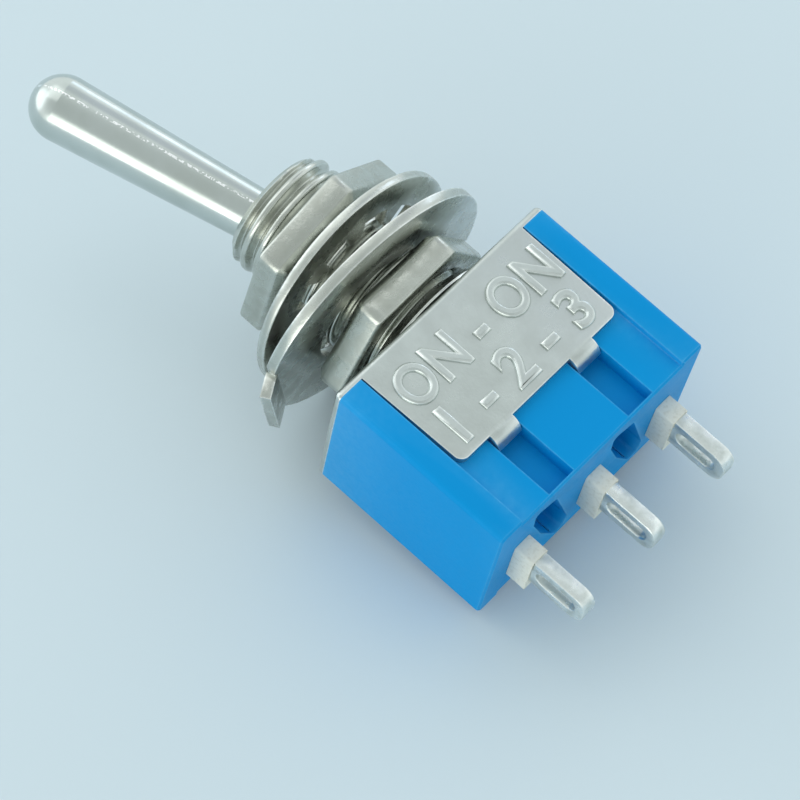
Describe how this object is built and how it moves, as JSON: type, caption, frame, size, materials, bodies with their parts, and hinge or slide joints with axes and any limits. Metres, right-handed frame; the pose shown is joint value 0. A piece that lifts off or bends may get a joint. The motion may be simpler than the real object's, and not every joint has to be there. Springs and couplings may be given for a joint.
{
  "type": "toggle switch",
  "caption": "Miniature toggle switch: bat lever in a threaded bushing with hex nuts and loose washers, a folded bracket on a moulded body, and solder lugs.",
  "frame": {"origin": "on the bushing's axis at the top face of the mounting bracket", "axes": "+Z along the bushing towards the lever's tip, X along the row of terminals, the bracket's broad flanges face -Y and +Y; the lever is thrown towards -X"},
  "size_m": [0.0142, 0.0126, 0.0345],
  "materials": {
    "housing_blue": "satin moulded thermoset, bright blue",
    "seal_cream": "matt cream sealing compound",
    "cover_fibre": "matt brown fibre sheet",
    "bracket_nickel": "nickel-plated sheet steel, satin",
    "bushing_nickel": "bright nickel plate on brass",
    "nut_nickel": "bright nickel plate on brass",
    "washer_nickel": "nickel-plated spring steel, satin",
    "lever_nickel": "bright nickel plate on brass",
    "terminal_silver": "tinned and silvered brass strip",
    "contact_silver": "silver contact face",
    "pin_steel": "bright steel",
    "plunger_brass": "turned brass",
    "spring_steel": "drawn spring wire",
    "rocker_copper": "copper alloy, silvered at the arms"
  },
  "bodies": {
    "body": {"bushing": "bushing_nickel", "mounting_bracket": "bracket_nickel", "housing": "housing_blue", "insulating_cover": "cover_fibre", "terminal_common": "terminal_silver", "terminal_left": "terminal_silver", "terminal_right": "terminal_silver", "contact_left": "contact_silver", "contact_right": "contact_silver", "seal_left": "seal_cream", "seal_common": "seal_cream", "seal_right": "seal_cream", "pivot_pin": "pin_steel", "lower_nut": "nut_nickel", "upper_nut": "nut_nickel", "locating_washer": "washer_nickel", "lock_washer": "washer_nickel"},
    "lever": {"toggle_lever": "lever_nickel", "plunger_spring": "spring_steel"},
    "plunger": {"plunger": "plunger_brass"},
    "rocker": {"rocker_contact": "rocker_copper"}
  },
  "joints": [
    {"name": "lever_tilt", "type": "hinge", "parent": "body", "child": "lever", "pos_m": [0, 0, 0.0052], "axis": [0, 1, 0], "range_deg": [0, 25.6]},
    {"name": "rocker_tilt", "type": "hinge", "parent": "body", "child": "rocker", "pos_m": [0, 0, -0.0063], "axis": [0, 1, 0], "range_deg": [-12, 0]},
    {"name": "plunger_slide", "type": "slide", "parent": "lever", "child": "plunger", "axis": [-0.2215, 0, 0.9751], "range_m": [0, 0.0004], "stiffness_N_per_m": 150, "springref_m": -0.0005, "deforming": ["plunger_spring"]}
  ],
  "couplings": [
    {"joint": "rocker_tilt", "follows": "lever_tilt", "ratio": -0.46875}
  ]
}
